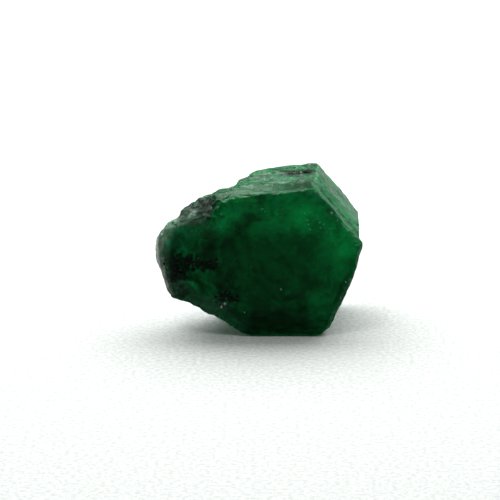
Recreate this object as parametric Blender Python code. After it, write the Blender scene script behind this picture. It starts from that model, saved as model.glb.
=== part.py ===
"""Raw emerald crystal.

A stubby six-sided beryl prism, broken off its host rock, lying on one of its prism faces. The c-axis runs
along Y: the flat basal face looks towards -Y, and the broken end towards +Y. The prism faces carry low growth
ledges that run round the crystal, parallel to the basal face. Irregular fractures cut away the left shoulder,
the underside on the left and the back. Small chips nick the edges, and shallow etch pits mark the top.

Sizes are in metres. +Z is up, and z = 0 is the prism face that the crystal rests on.
"""

import math

import bmesh
import bpy
from mathutils import Matrix, Vector, noise

MM = 0.001
NOISE_SEED = 1795468065  # fixes the offsets of noise_vector, so that the chips and fractures come out the same

# Driving dimensions
FRONT_Y = -4.0 * MM  # the basal face
AXIS_X = 0.4 * MM  # where the c-axis leaves the basal face
AXIS_Z = 5.1 * MM
AXIS_YAW = math.radians(1.6)  # the prism leans to +X towards the back
BOTTOM = 5.25 * MM  # from the c-axis down to the prism face it rests on
CENTRING = Vector((-0.015, -0.32, 0.15)) * MM  # puts the origin on the floor under the middle of the crystal

# Each face of the prism: the way it looks, in degrees from +X towards +Z, its distance from the c-axis, and the
# number of points along it.
PRISM_FACES = {
    "top": (94.4, 4.88 * MM, 14),
    "upper_right": (39.4, 5.89 * MM, 10),
    "right": (0.0, 6.60 * MM, 2),
    "lower_right": (-15.0, 6.14 * MM, 5),
    "foot_right": (-26.0, 6.03 * MM, 6),
    "bottom": (-90.0, BOTTOM, 8),
    "lower_left": (-158.5, 6.93 * MM, 6),
    "left": (180.0, 7.42 * MM, 3),
    "upper_left": (147.2, 6.93 * MM, 6),
}

# Growth along the axis: the place of each section behind the basal face, the growth layer it belongs to, and how
# much it stands out from PRISM_FACES on each face, in their order. A layer's sections share their wavy line.
SECTIONS = (
    (0.00, 0, (-0.07, -0.09, -0.15, -0.23, -0.40, -0.10, -0.58, -0.76, -0.60)),
    (0.14, 0, (0.00, 0.00, -0.04, -0.12, -0.22, -0.03, -0.40, -0.52, -0.42)),
    (0.45, 0, (0.03, 0.02, 0.02, -0.02, -0.03, 0.00, -0.12, -0.20, -0.16)),
    (0.95, 0, (0.04, -0.02, -0.06, 0.02, 0.02, 0.00, 0.00, 0.00, 0.00)),
    (2.08, 1, (0.05, -0.09, -0.26, 0.00, 0.02, 0.00, 0.02, 0.02, 0.00)),
    (2.16, 1, (0.18, 0.00, -0.22, 0.06, 0.08, 0.00, 0.06, 0.04, 0.04)),
    (3.05, 2, (0.09, -0.10, -0.30, 0.06, 0.06, 0.00, 0.04, 0.00, 0.00)),
    (3.11, 2, (0.14, -0.03, -0.26, 0.10, 0.10, 0.00, -0.06, 0.00, 0.06)),
    (4.62, 3, (0.02, -0.04, -0.24, 0.10, 0.08, 0.00, -0.08, 0.00, 0.02)),
    (4.72, 3, (0.20, 0.10, -0.20, 0.18, 0.14, 0.00, 0.06, 0.00, 0.10)),
    (6.10, 4, (0.13, 0.06, -0.20, 0.16, 0.12, 0.00, 0.06, 0.00, 0.04)),
    (6.16, 4, (0.07, 0.14, -0.16, 0.10, 0.08, 0.00, 0.12, 0.00, -0.04)),
    (7.70, 5, (0.04, 0.10, -0.20, 0.14, 0.10, 0.00, 0.10, 0.00, -0.04)),
    (8.60, 5, (-0.30, -0.30, -0.30, 0.10, 0.00, 0.00, -0.20, 0.00, -0.30)),
)
BASAL_RINGS = (0.90, 0.72)  # shares of the outline
LEDGE_WAVE = 0.30 * MM  # how far a ledge wanders along the axis
LEDGE_WAVE_LENGTH = 1.7 * MM

# Fractures, in mm: a point on each, the way it looks, the way its length runs, its length and width, the size and
# depth of its shells and, on one that ends in a hollow, how far it rises at the end of its length.
FRACTURES = {
    "shoulder_front": ((-4.95, -3.8, 8.15), (-0.128, -0.556, 0.821), (1, 0, 0.15), 5.0, 9.0, 1.3, 0.24, 2.8),
    "shoulder_back": ((-1.9, 0.1, 9.64), (-0.446, 0.245, 0.861), (0.5, 0.86, 0), 16.0, 16.0, 1.9, 0.20),
    "ledge_end": ((-2.50, -1.70, 9.70), (-0.12, 0.05, 0.99), (1, 0.15, 0), 2.1, 2.0, 0.9, 0.08),
    "strip_end": ((-1.90, 1.40, 9.03), (-0.10, 0.27, 0.96), (1, 0, 0.1), 1.1, 6.0, 0.8, 0.06, 0.35),
    "upper_left": ((-5.50, -1.00, 7.66), (-0.80, 0.16, 0.58), (0.58, 0, 0.81), 2.6, 9.0, 1.2, 0.12),
    "left_brow": ((-6.40, -1.00, 6.76), (-0.80, 0.16, 0.58), (0.58, 0, 0.81), 16.0, 16.0, 1.2, 0.10),
    "underside_left": ((-1.35, -4.0, 0.21), (-0.490, 0.03, -0.871), (0.87, 0, -0.493), 8.0, 18.0, 1.9, 0.18),
    "left_foot": ((-8.3, -4.0, 3.46), (-0.345, 0.06, -0.937), (0.94, 0, -0.345), 8.0, 18.0, 1.4, 0.10),
    "back_upper": ((2.5, 4.3, 8.0), (0.06, 0.975, 0.214), (1, 0, 0), 16.0, 16.0, 2.6, 0.40),
    "back_corner": ((0.5, 3.1, 10.0), (-0.47, 0.76, 0.45), (0.85, 0.52, 0), 16.0, 16.0, 1.8, 0.30),
    "back_lower": ((1.0, 4.2, 3.0), (-0.10, 0.940, -0.326), (1, 0, 0), 16.0, 16.0, 2.3, 0.45),
    "back_left": ((-4.2, 1.4, 4.2), (-0.640, 0.760, -0.113), (0.76, 0.64, 0), 16.0, 16.0, 2.0, 0.40),
    "top_back_corner": ((4.36, 3.2, 10.08), (0.60, 0.20, 0.78), (0, 1, 0), 3.4, 3.0, 0.8, 0.10),
    "heel": ((4.55, -3.2, 0.12), (0.62, -0.10, -0.78), (0, 1, 0), 5.0, 3.0, 0.9, 0.10),
}
FRACTURE_CELL = 0.42 * MM
FRACTURE_REACH = 7.0 * MM  # how far a fracture's cutter goes out of the crystal
HOLLOW_STEEPNESS = 6

# Edges that are nicked, in mm: from, to, the way out of the crystal, how many chips, and the widest chip.
WORN_EDGES = (
    ((-2.6, -4.0, 9.80), (3.7, -4.0, 10.28), (0.0, -0.6, 0.8), 8, 0.44),
    ((3.8, -4.0, 10.22), (6.8, -4.0, 6.60), (0.6, -0.6, 0.5), 7, 0.50),
    ((6.9, -3.9, 6.20), (4.7, -3.9, 0.50), (0.7, -0.7, -0.2), 5, 0.50),
    ((3.9, -2.6, 10.30), (4.2, 3.4, 10.36), (0.4, 0.0, 0.9), 5, 0.56),
    ((-4.2, -4.0, 1.80), (-0.6, -4.0, -0.10), (-0.4, -0.6, -0.7), 5, 0.44),
)
CHIP_STANDS_OUT = 0.36  # of its width: how far a chip's middle lies outside the edge

# Etch pits on the top, in mm: the middle of what each takes away, and its width. They are long the way the ledges
# run.
PITS = (
    ((-0.9, -2.5, 10.08), 0.40), ((0.4, -0.9, 10.20), 0.40), ((2.3, -1.4, 10.36), 0.46), ((1.1, 0.2, 10.24), 0.44),
    ((3.1, -0.3, 10.42), 0.36), ((1.9, 2.3, 10.42), 0.46), ((3.1, 2.9, 10.48), 0.40), ((0.3, 1.6, 10.32), 0.40),
)


def section_corners(growth):
    """The corners of the prism's section, in the XZ plane about the c-axis, where neighbouring faces meet."""
    directions = [math.radians(angle) for angle, _, _ in PRISM_FACES.values()]
    distances = [face[1] + stand_out * MM for face, stand_out in zip(PRISM_FACES.values(), growth)]
    corners = []
    for i, (angle, distance) in enumerate(zip(directions, distances)):
        before_angle, before = directions[i - 1], distances[i - 1]
        turn = math.sin(angle - before_angle)
        x = (before * math.sin(angle) - distance * math.sin(before_angle)) / turn
        z = (distance * math.cos(before_angle) - before * math.cos(angle)) / turn
        corners.append(Vector((x, 0, z)))
    return corners


def section_points(behind_front, layer, growth):
    """Points round one section. A ledge wanders along the axis, and the basal face and its bevel stay flat."""
    corners = section_corners(growth)
    lean = math.tan(AXIS_YAW) * behind_front * MM
    points = []
    for i, (_, _, count) in enumerate(PRISM_FACES.values()):
        start, end = corners[i], corners[(i + 1) % len(corners)]
        for step in range(count):
            point = start.lerp(end, step / count)
            wave = noise.noise(point / LEDGE_WAVE_LENGTH + Vector((0, 7.3 * layer, 0))) if layer else 0.0
            along = FRONT_Y + behind_front * MM + LEDGE_WAVE * wave
            points.append(Vector((AXIS_X + point.x + lean, along, AXIS_Z + point.z)))
    return points


def fill(mesh, ring):
    """Closes the basal face with smaller rings, so that a chip in its edge meets only the triangles beside it."""
    middle = sum((vertex.co for vertex in ring), Vector()) / len(ring)
    for share in BASAL_RINGS:
        inner = [mesh.verts.new(middle.lerp(vertex.co, share)) for vertex in ring]
        for i in range(len(ring)):
            mesh.faces.new((ring[i - 1], ring[i], inner[i], inner[i - 1]))
        ring = inner
    mesh.faces.new(ring)


def stepped_prism():
    """The whole prism before it broke, as rings of points joined into one closed mesh."""
    mesh = bmesh.new()
    rings = [[mesh.verts.new(point) for point in section_points(*section)] for section in SECTIONS]
    for near, far in zip(rings, rings[1:]):
        for i in range(len(near)):
            mesh.faces.new((near[i - 1], near[i], far[i], far[i - 1]))
    fill(mesh, rings[0])
    mesh.faces.new(reversed(rings[-1]))
    bmesh.ops.recalc_face_normals(mesh, faces=mesh.faces)
    return mesh


def object_from(name, mesh):
    data = bpy.data.meshes.new(name)
    mesh.to_mesh(data)
    mesh.free()
    made = bpy.data.objects.new(name, data)
    made.location = CENTRING
    bpy.context.scene.collection.objects.link(made)
    return made


def carve(crystal, name, mesh):
    """Takes a closed mesh away from the crystal, and keeps it as a cutter that isn't rendered."""
    cutter = object_from(name, mesh)
    cutter.hide_render = True
    cutter.display_type = "WIRE"
    cut = crystal.modifiers.new(name, "BOOLEAN")
    cut.operation = "DIFFERENCE"
    cut.solver = "MANIFOLD"
    cut.object = cutter


def frame_at(point, looks, along):
    """The matrix of a place whose Z looks one way and whose X runs as nearly as it can the other."""
    z_axis = Vector(looks).normalized()
    y_axis = z_axis.cross(Vector(along)).normalized()
    x_axis = y_axis.cross(z_axis)
    return Matrix.Translation(point) @ Matrix((x_axis, y_axis, z_axis)).transposed().to_4x4()


def shells(point, size, depth, seed):
    """Height of a conchoidal fracture: shallow bowls that meet in sharp ridges, with a little grain."""
    place = point / size + Vector((seed * 3.7, seed * 1.9, 0))
    to_centre = noise.voronoi(place)[0][0]
    return depth * (1.2 * to_centre * to_centre - 0.3 + 0.35 * noise.fractal(place * 2.1, 1.0, 2.0, 3))


def fracture(seed, point, looks, along, length, width, size, depth, hollow=0.0):
    """What an irregular fracture takes away: a block whose floor is the fracture."""
    mesh = bmesh.new()
    columns, rows = (round(side * MM / FRACTURE_CELL) for side in (length, width))
    bmesh.ops.create_grid(mesh, x_segments=columns, y_segments=rows, size=0.5)
    bmesh.ops.scale(mesh, verts=mesh.verts, vec=(length * MM, width * MM, 1))
    floor = list(mesh.verts)
    raised = bmesh.ops.extrude_face_region(mesh, geom=list(mesh.faces), use_keep_orig=True)["geom"]
    bmesh.ops.translate(mesh, verts=[v for v in raised if isinstance(v, bmesh.types.BMVert)],
                        vec=(0, 0, FRACTURE_REACH))
    for vertex in floor:
        if not vertex.is_boundary:
            vertex.co += 0.8 * FRACTURE_CELL * noise.noise_vector(vertex.co / MM * 2.9) * Vector((1, 1, 0))
        to_end = max(0.0, vertex.co.x / (length * MM / 2))
        vertex.co.z += shells(vertex.co, size * MM, depth * MM, seed) + hollow * MM * to_end**HOLLOW_STEEPNESS
    bmesh.ops.transform(mesh, matrix=frame_at(Vector(point) * MM, looks, along), verts=mesh.verts)
    bmesh.ops.recalc_face_normals(mesh, faces=mesh.faces)
    return mesh


def splinters(places):
    """What chips and pits take away: small irregular lumps, given as (place, length direction, width)."""
    mesh = bmesh.new()
    for place, along, width in places:
        lump = bmesh.ops.create_icosphere(mesh, subdivisions=2, radius=0.5)["verts"]
        stand = frame_at(place, Vector(along).cross((0.3, 1, 0.2)), along)
        for vertex in lump:
            vertex.co *= 1 + 0.6 * noise.noise(vertex.co * 2.3 + place / MM)
            vertex.co.x *= 1.7
            vertex.co = stand @ (vertex.co * width)
    bmesh.ops.recalc_face_normals(mesh, faces=mesh.faces)
    return mesh


def edge_chips():
    places = []
    for start, end, outward, count, widest in WORN_EDGES:
        run = Vector(end) - Vector(start)
        for i in range(count):
            place = Vector(start) + run * (i + 0.5) / count
            shift = noise.noise_vector(place * 3.1)
            width = widest * (0.75 + 0.6 * shift.y)
            place += run / count * 0.7 * shift.x + Vector(outward).normalized() * CHIP_STANDS_OUT * width
            places.append((place * MM, run, width * MM))
    return places


def etch_pits():
    return [(Vector(place) * MM, (1.0, 0.1, 0.07), width * MM) for place, width in PITS]


def emerald_material():
    material = bpy.data.materials.new("emerald")
    material.use_nodes = True
    shader = material.node_tree.nodes["Principled BSDF"]
    shader.inputs["Base Color"].default_value = (0.01, 0.16, 0.06, 1)
    shader.inputs["Roughness"].default_value = 0.3
    shader.inputs["Metallic"].default_value = 0.0
    return material


def main():
    noise.seed_set(NOISE_SEED)
    for old in list(bpy.data.objects):
        bpy.data.objects.remove(old)
    crystal = object_from("emerald_crystal", stepped_prism())
    crystal.data.materials.append(emerald_material())
    for seed, (name, shape) in enumerate(FRACTURES.items()):
        carve(crystal, name, fracture(seed, *shape))
    carve(crystal, "edge_chips", splinters(edge_chips()))
    carve(crystal, "etch_pits", splinters(etch_pits()))


main()
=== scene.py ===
"""Raw emerald crystal, 14 mm across, on a pale table: the finish of its faces, ledges, breaks and inclusions,
and the light and shade painted on them.

The model is in metres, with z = 0 the table that the crystal lies on. The crystal is worked in millimetres
and scaled back, because its finest detail is under a tenth of a millimetre.
"""
import math

import bmesh
import bpy
import numpy as np
from mathutils import Matrix, Vector, noise


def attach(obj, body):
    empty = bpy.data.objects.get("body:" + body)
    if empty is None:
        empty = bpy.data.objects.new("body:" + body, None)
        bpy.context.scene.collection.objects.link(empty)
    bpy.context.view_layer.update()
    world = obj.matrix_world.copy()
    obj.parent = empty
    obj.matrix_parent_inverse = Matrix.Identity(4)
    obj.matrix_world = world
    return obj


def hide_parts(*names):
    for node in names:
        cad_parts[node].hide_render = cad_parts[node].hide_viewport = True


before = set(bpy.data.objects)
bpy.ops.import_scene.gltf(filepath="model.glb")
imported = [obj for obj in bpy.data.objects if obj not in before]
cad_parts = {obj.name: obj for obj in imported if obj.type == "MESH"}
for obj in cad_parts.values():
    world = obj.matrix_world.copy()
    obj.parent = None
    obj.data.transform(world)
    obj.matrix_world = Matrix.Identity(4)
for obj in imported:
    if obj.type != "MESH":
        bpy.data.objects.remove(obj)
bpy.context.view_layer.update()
MM = 0.001

# ---- The crystal ----------------------------------------------------------------------------------------
# A stubby six-sided prism of beryl, deep green from its chromium and cloudy with tiny inclusions. It grew in
# layers that end in low ledges parallel to the flat basal face. Its left shoulder, underside and back broke
# away from the host rock, and rolling in gravel wore its edges.
NOISE_SEED = 5  # fixes the offsets of noise_vector, which otherwise change from run to run
POINT_SPACING = 0.085  # mm between the points of the mesh
TOP, UPPER_RIGHT = 94.4, 39.4  # the ways these faces look, in degrees from +X towards +Z
GROWN_FACES = (TOP, UPPER_RIGHT, 0.0, -15.0, -26.0, -90.0, -158.5)
OFF_FACE, ON_FACE = 11.0, 7.0  # degrees away from those ways at which a grown face ends, and is whole
FRONT_EDGE, FIRST_LEDGE, SECOND_LEDGE = -4.3, -2.2, 0.4  # mm along Y


def evenly_meshed(source, spacing):
    """The mesh in millimetres, with points all over it about one spacing apart."""
    copy = bpy.data.objects.new("even_copy", source.data.copy())
    copy.data.transform(Matrix.Scale(1 / MM, 4))
    bpy.context.scene.collection.objects.link(copy)
    remesh = copy.modifiers.new("even_points", "REMESH")
    remesh.mode = "VOXEL"
    remesh.voxel_size = spacing
    mesh = bpy.data.meshes.new_from_object(copy.evaluated_get(bpy.context.evaluated_depsgraph_get()))
    bpy.data.objects.remove(copy)
    return mesh


def read(collection, name, width, kind=np.float32):
    """One property of every item of a mesh collection, as an array."""
    values = np.empty(len(collection) * width, kind)
    collection.foreach_get(name, values)
    return values.reshape(-1, width) if width > 1 else values


def unit(vectors):
    """Arrows that point the same ways, each with a length of 1."""
    return vectors / np.linalg.norm(vectors, axis=-1, keepdims=True)


def mean_of_neighbours(values, edges):
    """For every point, the mean of the values at the points that it shares an edge with."""
    columns = values.reshape(len(values), -1)
    here, there = np.concatenate([edges, edges[:, ::-1]]).T
    total = [np.bincount(here, weights=column[there], minlength=len(values)) for column in columns.T]
    return (np.array(total) / np.bincount(here, minlength=len(values))).T.reshape(values.shape)


def blurred(values, edges, times):
    """The values after each has been brought half way to its neighbours' mean, this many times."""
    for _ in range(times):
        values = (values + mean_of_neighbours(values, edges)) / 2
    return values


def ramp(values, start, end):
    """0 up to the start and 1 from the end on, with a soft change between. The end may be the lower one."""
    share = np.clip((values - start) / (end - start), 0.0, 1.0)
    return share * share * (3 - 2 * share)


def shift_of(pattern):
    """Where in the noise a pattern lies. Each number gives a place of its own, and so other lumps."""
    return Vector((pattern * 7.31, pattern * -3.17, pattern * 5.77))


def noise_at(points, size, pattern, octaves=1):
    """Smooth noise between about -1 and 1 at each point. Its first lumps are one size across, in mm."""
    shift = shift_of(pattern)
    if octaves == 1:
        return np.array([noise.noise(Vector(p) + shift) for p in points / size])
    return np.array([noise.fractal(Vector(p) + shift, 0.9, 2.1, octaves) for p in points / size])


def wander_at(points, size, pattern):
    """Smooth noise as an arrow at each point, about one size from lump to lump, in mm."""
    shift = shift_of(pattern)
    return np.array([noise.noise_vector(Vector(p) + shift) for p in points / size])


noise.seed_set(NOISE_SEED)
crystal_mesh = evenly_meshed(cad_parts["emerald_crystal"], POINT_SPACING)
points = read(crystal_mesh.vertices, "co", 3).astype(float)
edges = read(crystal_mesh.edges, "vertices", 2, np.int32)
x, y, z = points.T  # mm. These are views of the points, so they follow every change to them

# The left end and the rim of the shoulder are worn round, as a pebble is
ROUNDING_STEPS = 100
left_end = ramp(x, -4.4, -6.0)
shoulder = ramp(x, -1.6, -2.4) * ramp(z, 6.9, 7.6)
rounded = (np.maximum(left_end, shoulder) * ramp(y, 1.5, -1.0))[:, None]
for _ in range(ROUNDING_STEPS):
    points += (mean_of_neighbours(points, edges) - points) * 0.5 * rounded

SWELLS = (  # middle, reach and push in mm, where the stone stands a little fuller
    ((-6.3, -3.4, 7.7), 1.2, (-0.30, 0.0, 0.10)), ((-6.1, -3.4, 3.1), 1.7, (-0.16, 0.0, -0.20)),
    ((-6.8, -3.4, 6.0), 2.8, (-0.16, 0.0, 0.0)), ((0.2, 1.6, 10.4), 1.5, (-0.16, 0.0, 0.10)),
    ((-5.35, -2.5, 8.7), 0.9, (-0.10, 0.0, 0.16)),
)
for middle, reach, push in SWELLS:
    near = 1 - ramp(np.linalg.norm(points - middle, axis=1), 0.2 * reach, reach)
    points += near[:, None] * push

crystal_mesh.vertices.foreach_set("co", points.astype(np.float32).ravel())
crystal_mesh.update()
normals = unit(blurred(read(crystal_mesh.vertex_normals, "vector", 3), edges, 4))
normal_x, normal_y, normal_z = normals.T

# Where the surface is basal face, grown prism face or break. The change is softer where it's worn round.
bearing = np.degrees(np.arctan2(normal_z, normal_x))
along_prism = ramp(np.abs(normal_y), 0.34, 0.22)


def leaning(angle):
    """1 where the surface leans along this bearing, whether or not it also leans along the c-axis."""
    return ramp(np.abs((bearing - angle + 180) % 360 - 180), OFF_FACE, ON_FACE)


def facing(angle):
    """1 on the prism face that looks along this bearing."""
    return leaning(angle) * along_prism


def softened(values):
    """The values blurred a little, and much more where the crystal is worn round."""
    return blurred(values, edges, 3) * (1 - worn_round) + blurred(values, edges, 30) * worn_round


worn_round = blurred(np.maximum(left_end, shoulder), edges, 8)
basal = softened(ramp(normal_y, -0.88, -0.96))
behind_edge = ramp(y, FRONT_EDGE + 0.25, FRONT_EDGE + 0.4)
risers = ramp(normal_y, -0.08, -0.30) * ramp(normal_y, -0.9, -0.8) * behind_edge  # the fronts of the ledges
risers *= np.maximum(leaning(TOP), leaning(UPPER_RIGHT))
on_riser = ramp(risers, 0.0, 0.3)
prism = softened(np.maximum(np.max([facing(angle) for angle in GROWN_FACES], axis=0), on_riser))
broken = np.clip(1 - basal - prism, 0.0, 1.0)
top = blurred(np.maximum(facing(TOP), leaning(TOP) * on_riser), edges, 3)
upper_right = blurred(np.maximum(facing(UPPER_RIGHT), leaning(UPPER_RIGHT) * on_riser), edges, 3)

# Behind its first ledge, the upper right face is worn nearly flush
FLUSH_RISE, FLUSH_SHARE = 0.15, 0.8  # mm above its mean height, and how much of the way it's brought there
outwards = np.array((math.cos(math.radians(UPPER_RIGHT)), 0.0, math.sin(math.radians(UPPER_RIGHT))))
flush = upper_right * ramp(y, FIRST_LEDGE + 0.1, FIRST_LEDGE + 0.6)
height = points @ outwards
to_flush = np.average(height, weights=flush) + FLUSH_RISE - height
points += outwards * (to_flush * flush * FLUSH_SHARE)[:, None]

# Convex edges and hollows, from how far each point stands out from its neighbours
stands_out = ((points - mean_of_neighbours(points, edges)) * normals).sum(axis=1) / POINT_SPACING
stands_out = blurred(stands_out, edges, 3)
edge = ramp(stands_out, 0.03, 0.10)
hollow = ramp(stands_out, -0.02, -0.09)

# No edge of a real crystal runs dead straight, but the basal face stays nearly flat and the foot stays down
BROAD_WANDER, FINE_WANDER = 0.10, 0.05  # mm
BASAL_FLATNESS = 0.6  # the share of its waves that the basal face is spared
wander = BROAD_WANDER * wander_at(points, 1.5, 11) + FINE_WANDER * wander_at(points, 0.45, 12)
wander -= normals * ((wander * normals).sum(axis=1) * basal * BASAL_FLATNESS)[:, None]
wander *= ramp(z, 0.0, 0.6)[:, None]

# The relief of each kind of surface, in mm into the crystal
GROWTH_RELIEF, LUMP_RELIEF, GRAIN_RELIEF = 0.025, 0.014, 0.005  # on the grown faces
SHELL_RELIEF, CRUMB_RELIEF = 0.09, 0.035  # on the breaks
NICK_RELIEF, PIT_RELIEF = 0.12, 0.10  # on the sharp edges, and on the worn shoulder
growth_lines = noise_at(points * (0.35, 1.0, 0.35), 0.9, 1, 2)
lumps = noise_at(points * (0.8, 1.3, 0.8), 0.6, 2, 2)
shells = np.abs(noise_at(points, 0.9, 3, 3))
crumbs = noise_at(points, 0.28, 4, 2)
nicks = ramp(noise_at(points, 0.7, 6, 2), 0.05, 0.6)
pitted = worn_round * ramp(z, 7.4, 8.4) * ramp(y, 1.5, -0.5)
depth = prism * (GROWTH_RELIEF * (1 + growth_lines) + LUMP_RELIEF * (1 + lumps) + GRAIN_RELIEF * (1 + crumbs))
depth += broken * (SHELL_RELIEF * shells + CRUMB_RELIEF * (1 + crumbs))
depth += edge * NICK_RELIEF * nicks
depth += pitted * PIT_RELIEF * (1 + noise_at(points, 0.38, 5, 3))

# Bruises along the upper edges, where a knock sprang off a round flake: middle, width and depth in mm
BRUISES = (
    ((4.10, -4.3, 9.40), 0.80, 0.06), ((3.75, -4.3, 9.00), 0.50, 0.04), ((4.75, -4.3, 8.65), 0.60, 0.05),
    ((5.70, -4.3, 6.75), 0.60, 0.05), ((6.35, -4.3, 6.05), 0.85, 0.07), ((6.20, -4.3, 5.30), 0.60, 0.05),
    ((5.30, -4.3, 7.60), 0.45, 0.04), ((0.80, -4.3, 9.30), 0.50, 0.03),
)
for middle, width, deepest in BRUISES:
    depth += deepest * (1 - ramp(np.linalg.norm(points - middle, axis=1), width * 0.32, width * 0.5))

points += wander - normals * depth[:, None]
points[:, 2] = np.maximum(z, 0.0)
crystal_mesh.vertices.foreach_set("co", (points * MM).astype(np.float32).ravel())
crystal_mesh.update()
crystal_mesh.shade_smooth()


def soft_spot(middle, reach):
    """1 at the middle, falling to 0 just past the reach, as an ellipsoid. Both are in mm."""
    return 1 - ramp(np.linalg.norm((points - middle) / reach, axis=1), 0.35, 1.25)


def strongest(spots):
    """At each point, the strongest of the soft spots, each given by its middle, reach and strength."""
    return np.max([strength * soft_spot(middle, reach) for middle, reach, strength in spots], axis=0)


# Places and patterns that several of the finishes below share
behind_first = ramp(y, FIRST_LEDGE - 0.1, FIRST_LEDGE + 0.2)
behind_second = ramp(y, SECOND_LEDGE, SECOND_LEDGE + 0.3)
blotches = noise_at(points * (0.8, 1.2, 0.8), 0.8, 13, 3)
across_face = points @ (-outwards[2], 0.0, outwards[0])  # mm up and to the left on the upper right face
streaks = noise_at(np.stack([across_face * 0.35, y * 1.3, np.zeros_like(y)], axis=1), 0.8, 15, 2)
speckle = noise_at(points * (0.7, 1.2, 0.8) + 0.12 * wander_at(points, 0.4, 19), 0.22, 18, 3)
on_right = ramp(x + 0.5 * blotches, 0.2, 3.0)
front_right = top * on_right * (1 - behind_first)
pit = soft_spot((-4.3, -3.4, 8.5), (2.2, 2.4, 1.5))

# Painted light and shade over the body's own colour zoning: darker at the foot as painted shade, and clear
# green near the top and the right as painted glow where light comes in
DARKEST, ON_BREAK = 0.095, 0.36  # on the basal face before its glows, and on the breaks
# Painted glow and painted shade: spots made lighter, or darker where the number is below 0
PAINTED_GLOWS = (  # middle and reach in mm, and how much lighter
    ((1.0, -4.3, 9.2), (5.0, 3.0, 2.2), 0.384), ((-1.9, -4.3, 9.2), (1.8, 3.0, 1.0), 0.84),
    ((3.2, -4.3, 8.4), (1.7, 3.0, 1.2), 0.36), ((2.5, -4.3, 8.45), (0.6, 2.0, 0.35), 0.84),
    ((3.05, -4.3, 8.8), (0.5, 2.0, 0.30), 0.66), ((5.6, -4.3, 7.3), (1.3, 3.0, 1.6), 0.168),
    ((5.8, -4.3, 6.0), (2.1, 3.0, 3.0), 0.324), ((6.4, -4.3, 6.4), (1.3, 2.0, 1.2), 0.48),
    ((4.3, -4.3, 2.2), (1.3, 3.0, 1.5), 0.24), ((-3.1, -4.3, 8.2), (1.0, 3.0, 0.9), 0.30),
    ((-0.4, -4.3, 3.3), (1.3, 3.0, 1.5), -0.06), ((-4.5, -4.3, 2.9), (1.6, 3.0, 1.1), 0.168),
    ((-4.0, -4.3, 7.6), (1.6, 3.0, 0.9), 0.192), ((0.8, -4.3, 0.9), (3.0, 3.0, 1.9), -0.096),
)
on_basal = DARKEST + sum(strength * soft_spot(middle, reach) for middle, reach, strength in PAINTED_GLOWS)
on_prism = 0.50 + top * (-0.16 + 0.12 * behind_first + 0.14 * behind_second)
on_prism += upper_right * (0.35 + 0.95 * behind_first)
on_prism -= 0.16 * top * ramp(x, 0.2, 3.0) * (1 - behind_first)
zoning_and_painted_light = basal * on_basal
zoning_and_painted_light += prism * on_prism * (1 + 0.55 * blotches)
zoning_and_painted_light += broken * ON_BREAK * (1 + 0.5 * blotches)
mottles = noise_at(points * (0.8, 1.0, 1.1), 0.30, 21, 3)
# Painted shade darkens the foot, and fine mottles vary the colour near the top
zoning_and_painted_light *= ramp(z, -0.3, 0.9) * (1 + 0.5 * mottles * basal * ramp(z + 0.2 * x, 6.8, 9.2))

# Frosting: fine scratches and pits that scatter light on worn faces and breaks
HAZES = (  # middle and reach in mm, and how thick
    ((-7.1, -3.4, 5.9), (1.3, 1.8, 3.0), 0.50), ((-5.6, -3.9, 3.1), (1.4, 1.4, 1.1), 0.70),
    ((-3.7, -4.3, 2.0), (1.8, 1.2, 1.0), 0.65), ((-1.9, -4.3, 0.9), (1.1, 1.0, 0.8), 0.25),
    ((-4.2, -4.2, 7.9), (1.9, 1.0, 1.0), 0.30),
)
CORNER_X, CORNER_Z = 6.85, 6.62  # mm, the sharp right corner of the basal face
frost = prism * (0.36 - top * 0.18 + top * 0.25 * behind_first - top * 0.18 * behind_second)
frost += upper_right * 0.26 + broken * 0.3 - front_right * 0.24
frost *= 1 + (1.2 - 0.9 * upper_right) * noise_at(points * (0.7, 1.0, 0.7), 0.55, 14, 3)
frost += sum(thick * soft_spot(middle, reach) for middle, reach, thick in HAZES)
past_upper_right = (x - CORNER_X) * 0.78 + (z - CORNER_Z) * 0.63  # mm outwards from the edge
past_top = z - 9.85 - 0.09 * (x + 3.0)
below_edges = np.maximum(0.30 * ramp(past_upper_right, -0.55, -0.10), 0.16 * ramp(past_top, -0.60, -0.15))
frost += basal * below_edges * (1 + 0.8 * blotches) * ramp(x, -3.4, -2.6)
feathers = ramp(noise_at(points * (0.6, 1.0, 1.3), 0.40, 20, 3), 0.20, 0.75)
frost += basal * feathers * (0.05 + 0.30 * ramp(z + 0.25 * x, 7.2, 9.4))
frost *= 1 - 0.7 * pit

# Fine dark lines where growth stopped and started again, dark streaks and specks, and painted shade under
# each ledge, along the lower right edge of the basal face and in the shoulder
# Spots painted dark: painted shade in the hollow of the shoulder, a dark streak down the shoulder, and a dark
# mark at the second ledge
PAINTED_SHADE_AND_DARK_SPOTS = (  # middle and reach in mm, and how dark
    ((-3.8, -3.4, 8.9), (0.9, 1.2, 0.8), 0.80), ((-3.02, -4.0, 9.65), (0.16, 0.8, 0.34), 0.95),
    ((-3.35, -4.0, 9.25), (0.20, 0.8, 0.34), 0.95), ((-4.4, -3.6, 8.2), (1.3, 1.2, 0.9), 0.80),
    ((3.4, 0.40, 10.4), (0.65, 0.26, 0.6), 1.3), ((-4.9, -3.2, 8.2), (0.9, 1.2, 0.7), 0.85),
)
ledge_fronts = blurred(risers, edges, 2)
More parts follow.
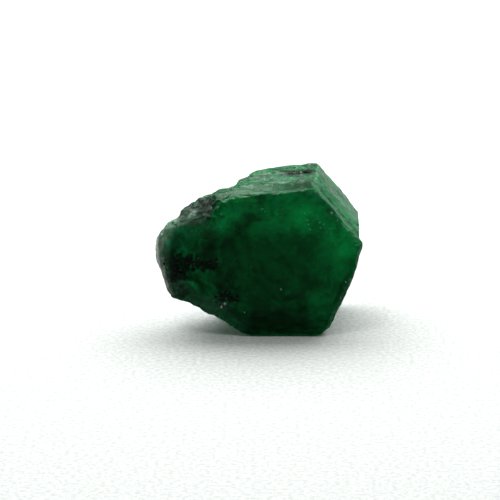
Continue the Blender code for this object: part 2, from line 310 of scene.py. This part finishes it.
# Painted shade on the fronts of the ledges
painted_shade_under_ledges = ledge_fronts * (1 - upper_right * behind_second) * (0.85 - 0.35 * top)
growth_stops = ramp(noise_at(points * (0.3, 1.6, 0.3), 0.45, 16, 2), 0.05, 0.5)
past_lower_right = (x - CORNER_X) * 0.936 - (z - CORNER_Z) * 0.353  # mm outwards from the edge
lines_and_painted_shade = np.max([
    painted_shade_under_ledges * (1 - top * (1 - on_right)),
    0.60 * upper_right * ramp(streaks, 0.05, 0.55),
    0.75 * top * growth_stops,
    0.75 * prism * ramp(speckle, -0.22, -0.62),
    # Painted shade along the lower right edge of the basal face
    0.65 * basal * ramp(past_lower_right, -0.40, -0.10) * ramp(z, 5.5, 3.0),
    strongest(PAINTED_SHADE_AND_DARK_SPOTS),
], axis=0)

# Where iron has stained it brown
RUST_SPOTS = (  # middle and reach in mm, and how strong
    ((-5.6, -3.8, 3.0), (1.5, 1.4, 1.1), 0.9), ((-6.9, -3.6, 5.2), (1.0, 1.8, 2.6), 0.6),
    ((2.6, 0.7, 10.4), (1.1, 0.75, 0.7), 2.0),
)
rust = strongest(RUST_SPOTS)

# Pale marks, partly where wear has bleached it and partly painted highlights and glints: the sharp edges of
# the faces, the round left end, the upper right face, and the ends and fronts of the ledges
left_rim = blurred(worn_round * ramp(normal_x, -0.05, -0.65), edges, 12)
left_rim *= ramp(-x + 0.5 * blotches, 4.9, 6.5) * (1 - 0.55 * ramp(y, -2.6, 0.2))
# Painted glints: bright specks
painted_glint_specks = ramp(speckle, 0.25, 0.65) * (1 - pit) * (1 - 0.6 * front_right)
wear_and_painted_glints = np.max([
    edge * nicks * ramp(z, 5.0, 7.5) * ramp(x, -2.5, -1.0),
    left_rim * (1.20 + 0.7 * blotches + 0.9 * speckle),
    0.78 * upper_right * ramp(y, -1.6, 0.4) * (1 - 1.2 * streaks + 0.8 * blotches),
    0.35 * top * (1 - behind_first) * (1 - ramp(x, -0.3, 1.5)) * (1 + blotches),
    top * ledge_fronts * (0.6 + 1.2 * speckle) * (1 - 0.6 * on_right),
    0.8 * np.maximum(prism, left_rim) * painted_glint_specks,
], axis=0)
wear_and_painted_glints *= 1 - soft_spot((2.8, 0.7, 10.4), (1.3, 0.8, 0.7))

# Where flakes of mica grew into the crystal, and where grit of the host rock still sticks to it
MICA_SPOTS = (  # middle and reach in mm, and how thick the flakes lie
    ((-5.0, -4.2, 5.2), (1.3, 0.9, 0.65), 1.0), ((-5.6, -4.2, 4.4), (0.8, 0.9, 0.6), 0.8),
    ((-3.5, -4.2, 5.1), (1.1, 0.8, 0.40), 0.7), ((-2.2, -4.2, 2.8), (0.85, 0.8, 0.55), 0.9),
    ((2.8, 0.6, 10.4), (0.95, 0.45, 0.6), 0.6),
)
GRIT_SPOTS = (  # middle and reach in mm, and how thick the crumbs lie
    ((-3.9, -3.2, 8.8), (1.8, 1.9, 1.2), 0.9), ((-2.3, -2.6, 9.9), (0.9, 0.9, 0.4), 0.7),
    ((-5.9, -3.0, 7.8), (0.9, 1.2, 0.8), 0.3),
)
mica = strongest(MICA_SPOTS)
grit = strongest(GRIT_SPOTS)
stain = np.maximum(mica * 0.24, grit * 0.40)

# How dull it is: glassy on the front of the top, and dullest in the dark of the shoulder's pit
dull = 0.12 * (1 - front_right) * (1 - 0.6 * top * lines_and_painted_shade) + 0.14 * frost + 0.7 * pit * lines_and_painted_shade


def paint(mesh, name, values):
    """Stores one number from 0 to 1 for each point, for the material to read."""
    painted = mesh.attributes.new(name, "FLOAT", "POINT")
    painted.data.foreach_set("value", np.clip(values, 0, 1).astype(np.float32))


for name, values in {
    "zoning_and_painted_light": zoning_and_painted_light, "frost": frost, "broken": broken, "prism": prism, "hollow": hollow,
    "wear_and_painted_glints": wear_and_painted_glints, "stain": stain, "lines_and_painted_shade": lines_and_painted_shade, "rust": rust, "dull": dull,
}.items():
    paint(crystal_mesh, name, values)


def new_material(name):
    """A material with an empty node tree but for its output and its Principled shader."""
    material = bpy.data.materials.new(name)
    material.use_nodes = True
    nodes = material.node_tree.nodes
    nodes.clear()
    shader = nodes.new("ShaderNodeBsdfPrincipled")
    output = nodes.new("ShaderNodeOutputMaterial")
    material.node_tree.links.new(shader.outputs["BSDF"], output.inputs["Surface"])
    return material, shader, output


def feed(tree, socket, value):
    """Sets a socket to a number or a colour, or links it to another socket."""
    if isinstance(value, bpy.types.NodeSocket):
        tree.links.new(value, socket)
    else:
        socket.default_value = (*value, 1.0) if isinstance(value, tuple) else value


def attribute(tree, name):
    """A number that was painted on the mesh."""
    made = tree.nodes.new("ShaderNodeAttribute")
    made.attribute_name = name
    return made.outputs["Fac"]


def millimetres(tree):
    """The place on the object in millimetres, for the noise textures to read."""
    place = tree.nodes.new("ShaderNodeTexCoord")
    scale = tree.nodes.new("ShaderNodeVectorMath")
    scale.operation = "SCALE"
    scale.inputs["Scale"].default_value = 1 / MM
    tree.links.new(place.outputs["Object"], scale.inputs[0])
    return scale.outputs["Vector"]


def noise_texture(tree, place, size, detail=3.0, roughness=0.55, distortion=0.0):
    """A noise texture with lumps one size across, in mm."""
    made = tree.nodes.new("ShaderNodeTexNoise")
    made.inputs["Scale"].default_value = 1 / size
    made.inputs["Detail"].default_value = detail
    made.inputs["Roughness"].default_value = roughness
    made.inputs["Distortion"].default_value = distortion
    tree.links.new(place, made.inputs["Vector"])
    return made.outputs["Fac"]


def remap(tree, value, low, high, to_low=0.0, to_high=1.0):
    """Takes the values from low to high softly to those from to_low to to_high."""
    made = tree.nodes.new("ShaderNodeMapRange")
    made.interpolation_type = "SMOOTHSTEP"
    for name, number in zip(("From Min", "From Max", "To Min", "To Max"), (low, high, to_low, to_high)):
        made.inputs[name].default_value = number
    tree.links.new(value, made.inputs["Value"])
    return made.outputs["Result"]


def calculate(tree, operation, first, second):
    made = tree.nodes.new("ShaderNodeMath")
    made.operation = operation
    feed(tree, made.inputs[0], first)
    feed(tree, made.inputs[1], second)
    return made.outputs["Value"]


def mix_colour(tree, share, first, second):
    """The first colour where the share is 0, and the second where it's 1."""
    made = tree.nodes.new("ShaderNodeMix")
    made.data_type = "RGBA"
    factor, first_socket, second_socket = (s for s in made.inputs if s.enabled)
    feed(tree, factor, share)
    feed(tree, first_socket, first)
    feed(tree, second_socket, second)
    return next(s for s in made.outputs if s.enabled)


DEEP_GREEN, CLEAR_GREEN = (0.0, 0.012, 0.003), (0.015, 1.0, 0.28)
HOLLOW_SHADE_GREEN, LINE_AND_SHADE_GREEN, FROSTED_GREEN = (0.003, 0.05, 0.018), (0.010, 0.045, 0.022), (0.29, 0.72, 0.46)
RUST_BROWN, MICA_SHADE = (0.060, 0.026, 0.020), (0.016, 0.028, 0.019)
BLEACHED_AND_GLINT_GREEN, RUSTY_BLEACH_AND_GLINT = (0.56, 0.95, 0.68), (0.46, 0.42, 0.34)
BERYL_IOR = 1.577
CLARITY = 0.68  # the share of the light that passes into the body as into glass
CLOUDINESS = 0.8  # the share of the rest that scatters under the surface
SCATTER = (0.15, 0.40, 0.25)  # mm that red, green and blue light spread there
LET_THROUGH = (0.0, 0.86, 0.81, 1.0)  # how much red, green and blue light the body lets through
ABSORPTION_DENSITY = 1350.0  # per metre
SKIN_RELIEF, SKIN_STRENGTH = 0.02, 0.6  # mm, and how much of it the bump shows


def emerald_material():
    """Cloudy deep green beryl: clear depths, with what was painted on the points laid over them in turn."""
    material, shader, output = new_material("emerald")
    tree = material.node_tree
    place = millimetres(tree)
    clouds = noise_texture(tree, place, 1.1, detail=3, roughness=0.6, distortion=0.5)
    wisps = noise_texture(tree, place, 0.4, detail=3, roughness=0.6)
    flecks = noise_texture(tree, place, 0.16, detail=2, roughness=0.5)

    cloudy = calculate(tree, "MULTIPLY", remap(tree, clouds, 0.32, 0.68, 0.66, 1.34),
                       remap(tree, wisps, 0.3, 0.7, 0.85, 1.15))
    # The painted light and zoning sets how clear a green the body shows
    lit = calculate(tree, "MULTIPLY", attribute(tree, "zoning_and_painted_light"), cloudy)
    body = mix_colour(tree, lit, DEEP_GREEN, CLEAR_GREEN)
    # Painted shade: darker green in the hollows
    hollow_shade = calculate(tree, "MULTIPLY", attribute(tree, "hollow"), remap(tree, wisps, 0.35, 0.6, 0.3, 0.9))
    body = mix_colour(tree, hollow_shade, body, HOLLOW_SHADE_GREEN)
    frost_grain = remap(tree, flecks, 0.35, 0.65, 0.62, 1.0)
    frosted = calculate(tree, "MULTIPLY", attribute(tree, "frost"), frost_grain)
    body = mix_colour(tree, frosted, body, FROSTED_GREEN)
    # Dark lines and painted shade, in dark green
    body = mix_colour(tree, attribute(tree, "lines_and_painted_shade"), body, LINE_AND_SHADE_GREEN)
    rusted = calculate(tree, "MULTIPLY", attribute(tree, "rust"), remap(tree, wisps, 0.42, 0.58, 0.15, 1.0))
    body = mix_colour(tree, rusted, body, RUST_BROWN)
    specks = calculate(tree, "ADD", attribute(tree, "stain"), remap(tree, wisps, 0.35, 0.65, -0.45, 0.20))
    body = mix_colour(tree, remap(tree, specks, 0.0, 0.55, 0.0, 0.9), body, MICA_SHADE)
    bleached_and_glint = mix_colour(tree, attribute(tree, "rust"), BLEACHED_AND_GLINT_GREEN, RUSTY_BLEACH_AND_GLINT)
    # Wear and painted highlights and glints, in pale green
    body = mix_colour(tree, calculate(tree, "MULTIPLY", attribute(tree, "wear_and_painted_glints"), 0.8), body, bleached_and_glint)
    tree.links.new(body, shader.inputs["Base Color"])

    roughness = calculate(tree, "ADD", remap(tree, clouds, 0.3, 0.7, 0.04, 0.14), attribute(tree, "dull"))
    tree.links.new(roughness, shader.inputs["Roughness"])
    shader.inputs["IOR"].default_value = BERYL_IOR
    shader.inputs["Transmission Weight"].default_value = CLARITY
    shader.inputs["Subsurface Weight"].default_value = CLOUDINESS
    shader.inputs["Subsurface Radius"].default_value = SCATTER
    shader.inputs["Subsurface Scale"].default_value = 1.0 * MM

    bump = tree.nodes.new("ShaderNodeBump")
    bump.inputs["Strength"].default_value = SKIN_STRENGTH
    bump.inputs["Distance"].default_value = SKIN_RELIEF * MM
    grown_skin = calculate(tree, "MULTIPLY", attribute(tree, "prism"), 0.6)
    skin = calculate(tree, "ADD", grown_skin, attribute(tree, "broken"))
    tree.links.new(calculate(tree, "MULTIPLY", flecks, skin), bump.inputs["Height"])
    tree.links.new(bump.outputs["Normal"], shader.inputs["Normal"])

    depths = tree.nodes.new("ShaderNodeVolumeAbsorption")
    depths.inputs["Color"].default_value = LET_THROUGH
    depths.inputs["Density"].default_value = ABSORPTION_DENSITY
    tree.links.new(depths.outputs["Volume"], output.inputs["Volume"])
    return material


crystal = bpy.data.objects.new("raw_emerald", crystal_mesh)
bpy.context.scene.collection.objects.link(crystal)
crystal_mesh.materials.clear()
crystal_mesh.materials.append(emerald_material())
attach(crystal, "root")
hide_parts("emerald_crystal")

# ---- The veils ------------------------------------------------------------------------------------------
# Healed cracks inside the crystal: thin wavy sheets of tiny fluid drops, pale green where they catch the
# light. The clearest lies just under the basal face, near the top. They never reach the surface.
VEILS = (  # middle, width and height in mm, turn about Z and tilt in degrees, how many drops from 0 to 1
    ((2.90, -3.75, 8.70), (1.9, 1.5), (10, -20), 1.0), ((2.30, -3.30, 8.30), (2.6, 1.8), (-15, -35), 0.5),
    ((0.30, -3.50, 8.90), (2.8, 1.1), (5, -40), 0.5), ((-1.60, -3.40, 8.50), (1.6, 1.2), (-12, -30), 0.4),
    ((4.90, -3.60, 6.20), (2.2, 2.6), (20, -15), 0.45), ((5.80, -3.40, 4.60), (1.4, 2.0), (30, -10), 0.35),
    ((4.00, -3.30, 3.20), (2.6, 1.4), (0, -25), 0.30), ((-3.60, -3.50, 3.00), (2.4, 1.6), (-20, 20), 0.45),
    ((-4.60, -3.50, 6.80), (1.8, 1.3), (-25, -20), 0.25), ((0.60, -3.20, 6.20), (2.6, 1.5), (8, -20), 0.25),
)
VEIL_CELLS = 24  # each way across a sheet
VEIL_WAVE, VEIL_RAGGEDNESS = 0.16, 0.22  # mm, and as a share of its size
FIRST_WAVE, FIRST_OUTLINE = 30, 50  # the noise patterns of the first sheet
DROP_GREENS = (0.08, 0.95, 0.48), (0.14, 1.0, 0.70)


def veil_points(middle, size, turn, number):
    """A wavy round sheet, as a grid of points squeezed into a disc, and how far out each of them is."""
    across, up = np.meshgrid(*[np.linspace(-1, 1, VEIL_CELLS + 1)] * 2)
    disc_x, disc_y = across * np.sqrt(1 - up**2 / 2), up * np.sqrt(1 - across**2 / 2)
    flat = np.stack([disc_x * size[0] / 2, disc_x * 0, disc_y * size[1] / 2], axis=-1).reshape(-1, 3)
    flat[:, 1] += VEIL_WAVE * noise_at(flat, 0.7, FIRST_WAVE + number, 2)
    flat *= 1 + VEIL_RAGGEDNESS * noise_at(flat, 0.8, FIRST_OUTLINE + number)[:, None]
    about_z, tilt = (math.radians(angle) for angle in turn)
    set_up = np.array(Matrix.Rotation(about_z, 3, "Z") @ Matrix.Rotation(tilt, 3, "X"))
    return flat @ set_up.T + middle, np.hypot(disc_x, disc_y)


row = VEIL_CELLS + 1
cell_starts = [across + up * row for up in range(VEIL_CELLS) for across in range(VEIL_CELLS)]
cells = [(i, i + 1, i + row + 1, i + row) for i in cell_starts]
sheets, densities = [], []
for number, (middle, size, turn, drops) in enumerate(VEILS):
    sheet, from_middle = veil_points(middle, size, turn, number)
    sheets.append(sheet)
    densities.append(drops * (1 - ramp(from_middle.ravel(), 0.25, 1.0)))
veil_faces = [tuple(i + n * row * row for i in cell) for n in range(len(VEILS)) for cell in cells]
veil_mesh = bpy.data.meshes.new("healed_cracks")
veil_mesh.from_pydata((np.concatenate(sheets) * MM).tolist(), [], veil_faces)
paint(veil_mesh, "drops", np.concatenate(densities))
veil_mesh.shade_smooth()
veils = bpy.data.objects.new("healed_cracks", veil_mesh)
bpy.context.scene.collection.objects.link(veils)

drop_material, drop_shader, _ = new_material("fluid_drops")
drop_tree = drop_material.node_tree
drop_clouds = noise_texture(drop_tree, millimetres(drop_tree), 0.5, detail=3, roughness=0.6)
drop_colour = mix_colour(drop_tree, drop_clouds, *DROP_GREENS)
drop_gaps = remap(drop_tree, drop_clouds, 0.35, 0.65, 0.35, 1.0)
drop_cover = calculate(drop_tree, "MULTIPLY", attribute(drop_tree, "drops"), drop_gaps)
drop_tree.links.new(drop_colour, drop_shader.inputs["Base Color"])
drop_tree.links.new(drop_cover, drop_shader.inputs["Alpha"])
drop_shader.inputs["Roughness"].default_value = 0.8
drop_shader.inputs["Subsurface Weight"].default_value = 0.0
veil_mesh.materials.append(drop_material)
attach(veils, "root")

# ---- The mica -------------------------------------------------------------------------------------------
# Thin six-sided flakes of black mica from the schist that the emerald grew in. They lie in the skin of the
# crystal in loose clusters, tilted every way, some just under the surface and some catching the light.
FLAKE_COUNT = 280
FLAKE_RADII = (0.06, 0.20)  # mm
FLAKE_WIDTHS, FLAKE_THICKNESS = (0.6, 1.0), 0.16  # of its radius
FLAKE_TILT, FLAKE_UNEVENNESS = 0.35, 0.08
DEEPEST_FLAKE = 0.10  # mm under the surface
CLEARANCE = 0.01  # mm between the table and the lowest of the flakes and grains
MICA_BLACKS = (0.004, 0.008, 0.005), (0.08, 0.15, 0.10)
shuffle = np.random.default_rng(7)


def sown(share, count):
    """Random points of the crystal's surface, as dense as the share says, and the way out at each."""
    chosen = shuffle.choice(len(points), size=count, p=share / share.sum())
    return points[chosen], normals[chosen]


def turned(outward, tilt):
    """A turn for each copy of a shape, taking its +Z nearly outwards: the larger the tilt, the less so."""
    up = unit(outward + tilt * shuffle.normal(size=outward.shape))
    side = unit(np.cross(up, shuffle.normal(size=outward.shape)))
    return np.stack([side, np.cross(up, side), up], axis=2)


def scattered(name, shape_points, shape_faces, middles, turns, sizes, jitter):
    """One object of many copies of a shape in mm, each turned, sized in three directions and made uneven."""
    copies = shape_points[None] * sizes[:, None, :]
    copies = copies * (1 + jitter * shuffle.normal(size=copies.shape[:2] + (1,)).clip(-1.5, 1.5))
    copies = np.einsum("nij,nkj->nki", turns, copies) + middles[:, None, :]
    copies[:, :, 2] = np.maximum(copies[:, :, 2], CLEARANCE)
    count = len(shape_points)
    faces = [[i + n * count for i in face] for n in range(len(middles)) for face in shape_faces]
    mesh = bpy.data.meshes.new(name)
    mesh.from_pydata((copies.reshape(-1, 3) * MM).tolist(), [], faces)
    mesh.validate()
    made = bpy.data.objects.new(name, mesh)
    bpy.context.scene.collection.objects.link(made)
    return made


corners = [math.radians(60 * i) for i in range(6)]
plate_points = np.array([(math.cos(a), math.sin(a), level) for level in (-1, 1) for a in corners])
plate_rim = [(i, (i + 1) % 6, (i + 1) % 6 + 6, i + 6) for i in range(6)]
plate_faces = [tuple(range(5, -1, -1)), tuple(range(6, 12))] + plate_rim
where, outward = sown(np.clip(mica - 0.05, 0, 1), FLAKE_COUNT)
flake_radii = shuffle.uniform(*FLAKE_RADII, FLAKE_COUNT)
sunk = 0.2 * flake_radii + shuffle.uniform(0.0, DEEPEST_FLAKE, FLAKE_COUNT)
flake_places = where - outward * sunk[:, None]
flake_turns = turned(outward, FLAKE_TILT)
flake_widths = flake_radii * shuffle.uniform(*FLAKE_WIDTHS, FLAKE_COUNT)
flake_sizes = np.stack([flake_radii, flake_widths, flake_radii * FLAKE_THICKNESS], axis=1)
flakes = scattered("mica_flakes", plate_points, plate_faces, flake_places, flake_turns, flake_sizes,
                   FLAKE_UNEVENNESS)

mica_material, mica_shader, _ = new_material("black_mica")
mica_tree = mica_material.node_tree
glimmer = noise_texture(mica_tree, millimetres(mica_tree), 0.12, detail=2)
mica_colour = mix_colour(mica_tree, remap(mica_tree, glimmer, 0.50, 0.72), *MICA_BLACKS)
mica_tree.links.new(mica_colour, mica_shader.inputs["Base Color"])
mica_tree.links.new(remap(mica_tree, glimmer, 0.3, 0.7, 0.25, 0.55), mica_shader.inputs["Roughness"])
flakes.data.materials.append(mica_material)
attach(flakes, "root")

# ---- The grit -------------------------------------------------------------------------------------------
# Crumbs of the grey-green schist that the crystal was prised out of, stuck in the hollow of the left
# shoulder and thinly down the left end. They are mostly dark mica and hornblende; their pale kinds show only
# near the top, as a painted highlight where the light falls.
CRUMB_COUNT = 520
CRUMB_RADII = (0.025, 0.08)  # mm
CRUMB_SIZES = (0.6, 1.1)  # of its radius, each way
CRUMB_SINKING = 0.7  # of its radius
CRUMB_TILT, CRUMB_UNEVENNESS = 0.8, 0.16
# Painted highlight: the crumbs are painted paler from this height up
TOP_LIGHT_FROM, TOP_LIGHT_TO = 8.4, 9.4  # mm above the table
SCHIST_GREENS = (0.003, 0.011, 0.006), (0.035, 0.065, 0.043)
ball = bmesh.new()
bmesh.ops.create_icosphere(ball, subdivisions=1, radius=1.0)
ball_points = np.array([v.co for v in ball.verts])
ball_faces = [tuple(v.index for v in f.verts) for f in ball.faces]
ball.free()
where, outward = sown(np.clip(grit - 0.1, 0, 1) ** 1.3, CRUMB_COUNT)
crumb_radii = shuffle.uniform(*CRUMB_RADII, CRUMB_COUNT)
crumb_sizes = crumb_radii[:, None] * shuffle.uniform(*CRUMB_SIZES, (CRUMB_COUNT, 3))
crumb_places = where - outward * crumb_radii[:, None] * CRUMB_SINKING
crumb_turns = turned(outward, CRUMB_TILT)
crumbs_piece = scattered("schist_crumbs", ball_points, ball_faces, crumb_places, crumb_turns, crumb_sizes,
                         CRUMB_UNEVENNESS)
crumb_heights = read(crumbs_piece.data.vertices, "co", 3)[:, 2] / MM
# Painted highlight: paler towards the top
paint(crumbs_piece.data, "painted_top_light", ramp(crumb_heights, TOP_LIGHT_FROM, TOP_LIGHT_TO))

schist, schist_shader, _ = new_material("grey_green_schist")
schist_tree = schist.node_tree
kinds = noise_texture(schist_tree, millimetres(schist_tree), 0.22, detail=2)
pale_kinds = remap(schist_tree, kinds, 0.45, 0.65)
pale_kinds_where_lit = calculate(schist_tree, "MULTIPLY", pale_kinds, attribute(schist_tree, "painted_top_light"))
schist_tree.links.new(mix_colour(schist_tree, pale_kinds_where_lit, *SCHIST_GREENS), schist_shader.inputs["Base Color"])
schist_tree.links.new(remap(schist_tree, kinds, 0.3, 0.7, 0.55, 0.85), schist_shader.inputs["Roughness"])
schist_shader.inputs["Specular IOR Level"].default_value = 0.35
crumbs_piece.data.materials.append(schist)
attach(crumbs_piece, "root")

# ---- The pale grains ------------------------------------------------------------------------------------
# Specks of quartz and feldspar: a few larger ones on the basal face, and dust caught along the worn edges
# and on the rough left end.
LARGE_GRAINS = (  # place on the crystal and width, in mm
    ((1.45, -4.3, 3.35), 0.16), ((-2.38, -4.3, 2.30), 0.34), ((-2.58, -4.3, 2.15), 0.20),
    ((-1.06, -4.3, 1.72), 0.18), ((5.88, -4.3, 3.90), 0.12), ((4.83, -4.3, 8.72), 0.16),
    ((6.50, -4.3, 6.52), 0.15), ((-6.75, -3.9, 7.25), 0.20), ((4.20, -4.3, 9.95), 0.14),
    ((3.95, -4.2, 10.0), 0.10), ((-1.9, -3.9, 9.85), 0.12), ((0.9, -4.2, 10.0), 0.10),
)
DUST_COUNT = 180
DUST_RADII = (0.02, 0.05)  # mm
GRAIN_SIZES = (0.7, 1.1)  # of its radius, each way
GRAIN_SINKING = 0.4  # of its radius
GRAIN_TILT, GRAIN_UNEVENNESS = 0.8, 0.25
QUARTZ_WHITES = (0.62, 0.80, 0.68), (0.92, 0.96, 0.92)
dusty = edge * nicks * ramp(z, 4.0, 7.0) + 0.12 * grit + 0.06 * prism * top + 0.03 * mica + 0.05 * left_rim
dusty += 0.09 * basal * soft_spot((4.6, -4.3, 8.2), (1.9, 1.0, 1.6))
where, outward = sown(dusty, DUST_COUNT)
nearest = [int(np.argmin(np.linalg.norm(points - place, axis=1))) for place, _ in LARGE_GRAINS]
where = np.concatenate([points[nearest], where])
outward = np.concatenate([normals[nearest], outward])
large_radii = [width / 2 for _, width in LARGE_GRAINS]
grain_radii = np.concatenate([large_radii, shuffle.uniform(*DUST_RADII, DUST_COUNT)])
grain_sizes = grain_radii[:, None] * shuffle.uniform(*GRAIN_SIZES, (len(grain_radii), 3))
grain_places = where - outward * grain_radii[:, None] * GRAIN_SINKING
grain_turns = turned(outward, GRAIN_TILT)
grains = scattered("pale_grains", ball_points, ball_faces, grain_places, grain_turns, grain_sizes,
                   GRAIN_UNEVENNESS)

quartz, quartz_shader, _ = new_material("quartz_and_feldspar")
quartz_tree = quartz.node_tree
tints = noise_texture(quartz_tree, millimetres(quartz_tree), 0.3, detail=2)
quartz_colour = mix_colour(quartz_tree, remap(quartz_tree, tints, 0.35, 0.65), *QUARTZ_WHITES)
quartz_tree.links.new(quartz_colour, quartz_shader.inputs["Base Color"])
quartz_tree.links.new(remap(quartz_tree, tints, 0.3, 0.7, 0.2, 0.5), quartz_shader.inputs["Roughness"])
grains.data.materials.append(quartz)
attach(grains, "root")

# ---- The table ------------------------------------------------------------------------------------------
# A pale matt sheet under and behind the crystal, with the faint grain of paper. It is not part of the
# crystal. In reflections and bounced light it is dim, and dimmest in front, so the faces stay deep green.
TABLE_SIZE = 1400 * MM
PAPER_TONES = (0.60, 0.626, 0.612), (0.80, 0.832, 0.816)
DIM_FRONT, DIM_BEHIND, DIM_ON_LEFT = (0.02, 0.02, 0.02), (0.13, 0.13, 0.13), (0.55, 0.55, 0.55)
bpy.ops.mesh.primitive_circle_add(vertices=96, radius=TABLE_SIZE / 2, fill_type="NGON")
table = bpy.context.object
table.name = "table"
paper, paper_shader, paper_output = new_material("table_paper")
paper_tree = paper.node_tree
fibres = noise_texture(paper_tree, millimetres(paper_tree), 0.30, detail=3, roughness=0.7)
paper_colour = mix_colour(paper_tree, remap(paper_tree, fibres, 0.3, 0.7), *PAPER_TONES)
paper_tree.links.new(paper_colour, paper_shader.inputs["Base Color"])
paper_shader.inputs["Roughness"].default_value = 1.0
paper_shader.inputs["Specular IOR Level"].default_value = 0.0

on_table = paper_tree.nodes.new("ShaderNodeSeparateXYZ")  # mm from the middle of the crystal
paper_tree.links.new(millimetres(paper_tree), on_table.inputs["Vector"])
on_left = calculate(paper_tree, "MULTIPLY", remap(paper_tree, on_table.outputs["X"], -14.0, -8.0, 1.0, 0.0),
                    remap(paper_tree, on_table.outputs["Y"], -6.0, 0.0))
dim_tone = mix_colour(paper_tree, remap(paper_tree, on_table.outputs["Y"], -6.0, 3.0), DIM_FRONT, DIM_BEHIND)
dim_tone = mix_colour(paper_tree, on_left, dim_tone, DIM_ON_LEFT)
dim = paper_tree.nodes.new("ShaderNodeBsdfDiffuse")
paper_tree.links.new(dim_tone, dim.inputs["Color"])

table_rays = paper_tree.nodes.new("ShaderNodeLightPath").outputs
bounced = calculate(paper_tree, "MAXIMUM", table_rays["Is Glossy Ray"], table_rays["Is Diffuse Ray"])
not_through = calculate(paper_tree, "SUBTRACT", 1.0, table_rays["Is Transmission Ray"])
paper_or_dim = paper_tree.nodes.new("ShaderNodeMixShader")
paper_tree.links.new(calculate(paper_tree, "MULTIPLY", bounced, not_through), paper_or_dim.inputs["Fac"])
paper_tree.links.new(paper_shader.outputs["BSDF"], paper_or_dim.inputs[1])
paper_tree.links.new(dim.outputs["BSDF"], paper_or_dim.inputs[2])
paper_tree.links.new(paper_or_dim.outputs["Shader"], paper_output.inputs["Surface"])
table.data.materials.append(paper)

# ---- The light ------------------------------------------------------------------------------------------
# A wide soft light overhead, a little behind the crystal and left out of reflections, and a small one that
# gives the glints. The room around them is pale behind and at the sides, and dim in front.
OVERHEAD_PLACE, OVERHEAD_SIZE = (10 * MM, 190 * MM, 215 * MM), (480 * MM, 320 * MM)
OVERHEAD_POWER = 2.0  # watts
GLINT_PLACE, GLINT_SIZE = (-80 * MM, -110 * MM, 260 * MM), 60 * MM
GLINT_POWER = 0.14  # watts
overhead_data = bpy.data.lights.new("overhead", "AREA")
overhead_data.shape = "RECTANGLE"
overhead_data.size, overhead_data.size_y = OVERHEAD_SIZE
overhead_data.energy = OVERHEAD_POWER
overhead = bpy.data.objects.new("overhead", overhead_data)
overhead.location = OVERHEAD_PLACE
overhead.visible_glossy = False
bpy.context.scene.collection.objects.link(overhead)

glint_data = bpy.data.lights.new("glint", "AREA")
glint_data.size = GLINT_SIZE
glint_data.energy = GLINT_POWER
glint = bpy.data.objects.new("glint", glint_data)
glint.location = GLINT_PLACE
glint.rotation_euler = Vector(GLINT_PLACE).to_track_quat("Z", "Y").to_euler()
bpy.context.scene.collection.objects.link(glint)

room = bpy.data.worlds.new("room")
room.use_nodes = True
bpy.context.scene.world = room
room_tree = room.node_tree
room_tree.nodes.clear()
direction = room_tree.nodes.new("ShaderNodeTexCoord")
towards = room_tree.nodes.new("ShaderNodeSeparateXYZ")
room_tree.links.new(direction.outputs["Generated"], towards.inputs["Vector"])

# What lights the crystal: pale walls behind it and at its sides
from_around = remap(room_tree, towards.outputs["Y"], -0.9, 0.2, 0.10, 1.0)
sideways = calculate(room_tree, "ABSOLUTE", towards.outputs["X"], 0.0)
from_sides = remap(room_tree, sideways, 0.4, 0.95, 0.7, 2.2)
with_height = remap(room_tree, towards.outputs["Z"], 0.0, 0.6, 0.5, 0.42)
wall_light = calculate(room_tree, "MULTIPLY", from_around, from_sides)
wall_light = calculate(room_tree, "MULTIPLY", wall_light, with_height)
walls = room_tree.nodes.new("ShaderNodeBackground")
room_tree.links.new(wall_light, walls.inputs["Strength"])

# What the crystal's faces mirror is dimmer, and what shows beyond the table is plain white
from_behind = remap(room_tree, towards.outputs["Y"], -0.5, 0.4, 0.05, 1.0)
from_above = remap(room_tree, towards.outputs["Z"], 0.1, 0.9, 0.04, 0.6)
mirrored = room_tree.nodes.new("ShaderNodeBackground")
room_tree.links.new(calculate(room_tree, "MULTIPLY", from_behind, from_above), mirrored.inputs["Strength"])
backdrop = room_tree.nodes.new("ShaderNodeBackground")
backdrop.inputs["Color"].default_value = (1, 1, 1, 1)

room_rays = room_tree.nodes.new("ShaderNodeLightPath").outputs
not_through = calculate(room_tree, "SUBTRACT", 1.0, room_rays["Is Transmission Ray"])
is_mirrored = calculate(room_tree, "MULTIPLY", room_rays["Is Glossy Ray"], not_through)
shown = walls.outputs["Background"]
for share, seen in ((is_mirrored, mirrored), (room_rays["Is Camera Ray"], backdrop)):
    mixed = room_tree.nodes.new("ShaderNodeMixShader")
    room_tree.links.new(share, mixed.inputs["Fac"])
    room_tree.links.new(shown, mixed.inputs[1])
    room_tree.links.new(seen.outputs["Background"], mixed.inputs[2])
    shown = mixed.outputs["Shader"]
room_output = room_tree.nodes.new("ShaderNodeOutputWorld")
room_tree.links.new(shown, room_output.inputs["Surface"])

# ---- The camera -----------------------------------------------------------------------------------------
# A long lens in front of the basal face, looking down on the crystal from a little above the table. It is
# set far enough away that the prism hardly narrows towards its back.
CAMERA_PLACE = (-0.6575 * MM, -176.714 * MM, 52.3295 * MM)
CAMERA_ELEVATION = 15  # degrees
CAMERA_LENS, CAMERA_SENSOR = 190.0, 36.0  # mm
camera_data = bpy.data.cameras.new("camera")
camera_data.lens = CAMERA_LENS
camera_data.sensor_width = CAMERA_SENSOR
camera_data.clip_start = 1 * MM
camera_data.clip_end = 5.0
camera = bpy.data.objects.new("camera", camera_data)
camera.location = CAMERA_PLACE
camera.rotation_euler = (math.radians(90 - CAMERA_ELEVATION), 0, 0)
bpy.context.scene.collection.objects.link(camera)
bpy.context.scene.camera = camera
bpy.context.scene.view_settings.view_transform = "Standard"
